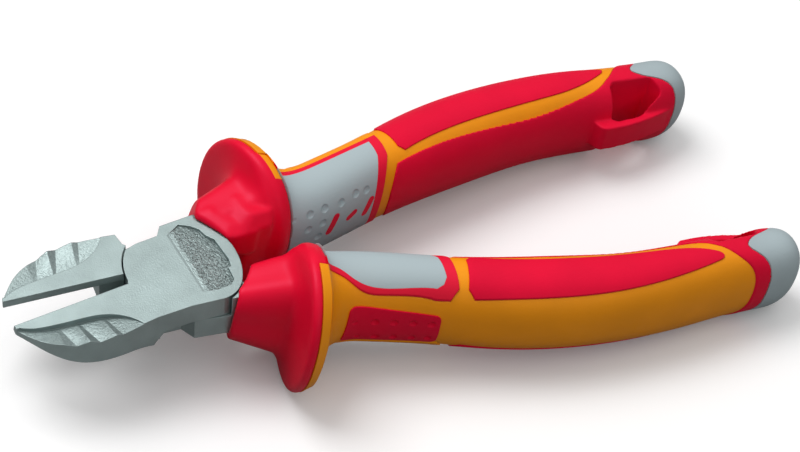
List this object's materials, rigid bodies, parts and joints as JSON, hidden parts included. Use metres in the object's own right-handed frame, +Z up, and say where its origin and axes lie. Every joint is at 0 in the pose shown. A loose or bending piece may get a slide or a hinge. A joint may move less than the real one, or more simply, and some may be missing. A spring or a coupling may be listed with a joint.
{
  "type": "diagonal cutting pliers",
  "caption": "Diagonal cutting pliers with lap-jointed steel jaws, flanged insulated handles in soft two-colour inlays and a tether loop on each tail.",
  "frame": {"origin": "centre of the bounding box at the table the tool lies on", "axes": "+X along the tool from the jaws to the handle tails, +Y towards the back handle, +Z up from the table through the flat of the head"},
  "size_m": [0.161, 0.0646, 0.031],
  "materials": {
    "steel": "satin blasted",
    "rivet_steel": "ground flush",
    "hood_red": "satin moulded",
    "core_yellow": "satin moulded",
    "soft_red": "soft-touch moulded",
    "soft_grey": "soft-touch moulded"
  },
  "bodies": {
    "upper_half": {"upper_jaw_half": "steel", "pivot_rivet": "rivet_steel", "back_guard_hood": "hood_red", "back_handle_core": "core_yellow", "back_saddle_frame": "soft_red", "back_saddle_pad": "soft_grey", "back_side_pad": "soft_red", "back_top_panel": "soft_red", "back_bottom_panel": "soft_red", "back_inner_grip": "soft_red", "back_end_cap": "soft_grey"},
    "lower_half": {"lower_jaw_half": "steel", "front_guard_hood": "hood_red", "front_handle_core": "core_yellow", "front_saddle_frame": "soft_red", "front_saddle_pad": "soft_grey", "front_side_pad": "soft_red", "front_top_panel": "soft_red", "front_bottom_panel": "soft_red", "front_inner_grip": "soft_red", "front_end_cap": "soft_grey"}
  },
  "joints": [
    {"name": "pivot_hinge", "type": "hinge", "parent": "upper_half", "child": "lower_half", "pos_m": [-0.04533, 0, 0.01682], "axis": [0.1059, 0, -0.9944], "range_deg": [-8.8, 24]}
  ]
}
